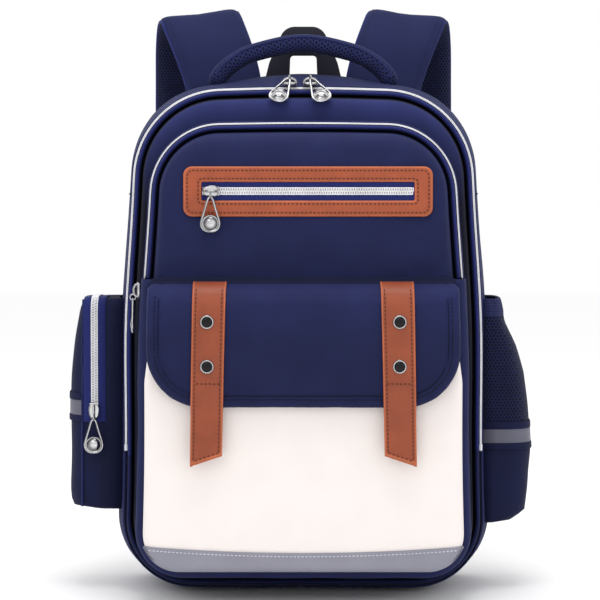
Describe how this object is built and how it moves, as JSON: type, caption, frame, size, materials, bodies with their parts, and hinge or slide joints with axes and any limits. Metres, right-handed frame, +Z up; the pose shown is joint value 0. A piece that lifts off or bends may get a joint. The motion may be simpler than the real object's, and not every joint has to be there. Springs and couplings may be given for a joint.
{
  "type": "school backpack",
  "caption": "Soft school backpack with a zipped front, leather-trimmed flap over a pale patch pocket, side pockets, padded shoulder straps and a padded carry handle.",
  "frame": {"origin": "on the floor under the main compartment, in the middle of the bag's width", "axes": "+X to the bag's right seen from the front, -Y to the front where the flap is, +Z up"},
  "size_m": [0.3898, 0.2718, 0.4901],
  "materials": {
    "navy_fabric": "woven matt",
    "spacer_mesh": "knitted mesh, matt",
    "blue_tape": "woven tape",
    "black_webbing": "ribbed webbing",
    "cream_fabric": "woven matt",
    "reflective_fabric": "satin reflective",
    "zip_coil": "semi gloss",
    "leather": "smooth, slightly waxed",
    "bright_metal": "polished",
    "black_enamel": "gloss",
    "black_plastic": "satin"
  },
  "bodies": {
    "shell": {"lower_gusset": "navy_fabric", "top_gusset": "navy_fabric", "back_panel": "spacer_mesh", "rear_binding": "black_webbing", "back_pad_left": "spacer_mesh", "back_pad_right": "spacer_mesh", "main_zip_rear": "zip_coil", "lower_front_panel": "navy_fabric", "lower_compartment": "navy_fabric", "pocket_lower": "cream_fabric", "reflective_band": "reflective_fabric", "left_pocket": "navy_fabric", "left_pocket_zip": "zip_coil", "left_pocket_reflector": "reflective_fabric", "bottle_pocket_base": "navy_fabric", "bottle_pocket_reflector": "reflective_fabric", "bottle_pocket_mesh": "spacer_mesh", "bottle_pocket_cuff": "navy_fabric", "strap_yoke": "navy_fabric", "strap_tab_left": "navy_fabric", "strap_tab_right": "navy_fabric", "webbing_lower_left": "black_webbing", "webbing_lower_right": "black_webbing"},
    "front_door": {"main_zip_front": "blue_tape", "door_panel": "navy_fabric", "compartment": "navy_fabric", "front_zip_rear": "blue_tape", "pocket_upper": "cream_fabric", "snap_stud_left": "bright_metal", "snap_stud_right": "bright_metal"},
    "front_cover": {"cover_panel": "navy_fabric", "front_zip_front": "zip_coil", "leather_frame": "leather", "frame_zip": "zip_coil"},
    "flap": {"flap_panel": "navy_fabric", "flap_binding": "navy_fabric", "leather_strap_left": "leather", "leather_strap_right": "leather", "rivet_left": "black_enamel", "rivet_right": "black_enamel", "snap_cap_left": "black_enamel", "snap_cap_right": "black_enamel"},
    "shoulder_strap_left": {"shoulder_pad_left": "spacer_mesh", "ladder_lock_left": "black_plastic", "webbing_tail_left": "black_webbing"},
    "shoulder_strap_right": {"shoulder_pad_right": "spacer_mesh", "ladder_lock_right": "black_plastic", "webbing_tail_right": "black_webbing"},
    "carry_handle": {"grab_handle": "spacer_mesh"},
    "top_loop": {"hanging_loop": "black_webbing"},
    "main_slider_left": {"main_slider_left": "bright_metal"},
    "main_slider_right": {"main_slider_right": "bright_metal"},
    "front_slider": {"front_slider": "bright_metal"},
    "frame_slider": {"frame_slider": "bright_metal"},
    "side_slider": {"side_slider": "bright_metal"},
    "main_pull_left": {"main_pull_left": "bright_metal"},
    "main_pull_right": {"main_pull_right": "bright_metal"},
    "front_pull": {"front_pull": "bright_metal"},
    "frame_pull": {"frame_pull": "bright_metal"},
    "side_pull": {"side_pull": "bright_metal"}
  },
  "joints": [
    {"name": "door_fold", "type": "hinge", "parent": "shell", "child": "front_door", "pos_m": [0, -0.0973, 0.112], "axis": [1, 0, 0], "range_deg": [0, 30]},
    {"name": "cover_fold", "type": "hinge", "parent": "front_door", "child": "front_cover", "pos_m": [0, -0.09, 0.25], "axis": [1, 0, 0], "range_deg": [0, 25]},
    {"name": "flap_lift", "type": "hinge", "parent": "front_door", "child": "flap", "pos_m": [0, -0.099, 0.26], "axis": [-1, 0, 0], "range_deg": [0, 100]},
    {"name": "main_zip_left", "type": "slide", "parent": "front_door", "child": "main_slider_left", "axis": [-1, 0, 0], "range_m": [0, 0.048]},
    {"name": "main_zip_right", "type": "slide", "parent": "front_door", "child": "main_slider_right", "axis": [1, 0, 0], "range_m": [0, 0.048]},
    {"name": "front_zip_run", "type": "slide", "parent": "front_cover", "child": "front_slider", "axis": [0.0709, 0, 0.9975], "range_m": [0, 0.052]},
    {"name": "frame_zip_run", "type": "slide", "parent": "front_cover", "child": "frame_slider", "axis": [1, 0, 0], "range_m": [0, 0.15]},
    {"name": "side_zip_run", "type": "slide", "parent": "shell", "child": "side_slider", "axis": [0, 0, 1], "range_m": [0, 0.08]},
    {"name": "main_pull_left_swing", "type": "hinge", "parent": "main_slider_left", "child": "main_pull_left", "pos_m": [-0.0111, -0.032, 0.4255], "axis": [-1, 0, 0], "range_deg": [0, 70]},
    {"name": "main_pull_right_swing", "type": "hinge", "parent": "main_slider_right", "child": "main_pull_right", "pos_m": [0.0057, -0.032, 0.4255], "axis": [-1, 0, 0], "range_deg": [0, 70]},
    {"name": "front_pull_swing", "type": "hinge", "parent": "front_slider", "child": "front_pull", "pos_m": [-0.1374, -0.0665, 0.248], "axis": [0, 1, 0], "range_deg": [0, 75]},
    {"name": "frame_pull_swing", "type": "hinge", "parent": "frame_slider", "child": "frame_pull", "pos_m": [-0.074, -0.0925, 0.33], "axis": [-1, 0, 0], "range_deg": [0, 80]},
    {"name": "side_pull_swing", "type": "hinge", "parent": "side_slider", "child": "side_pull", "pos_m": [-0.1735, -0.0216, 0.146], "axis": [-1, 0, 0], "range_deg": [0, 80]},
    {"name": "handle_fold", "type": "hinge", "parent": "shell", "child": "carry_handle", "pos_m": [0, 0.03, 0.425], "axis": [1, 0, 0], "range_deg": [-15, 60]},
    {"name": "loop_fold", "type": "hinge", "parent": "shell", "child": "top_loop", "pos_m": [0, 0.075, 0.437], "axis": [1, 0, 0], "range_deg": [-60, 10]},
    {"name": "strap_swing_left", "type": "hinge", "parent": "shell", "child": "shoulder_strap_left", "pos_m": [-0.066, 0.091, 0.428], "axis": [1, 0, 0], "range_deg": [0, 20]},
    {"name": "strap_swing_right", "type": "hinge", "parent": "shell", "child": "shoulder_strap_right", "pos_m": [0.066, 0.091, 0.428], "axis": [1, 0, 0], "range_deg": [0, 20]}
  ]
}
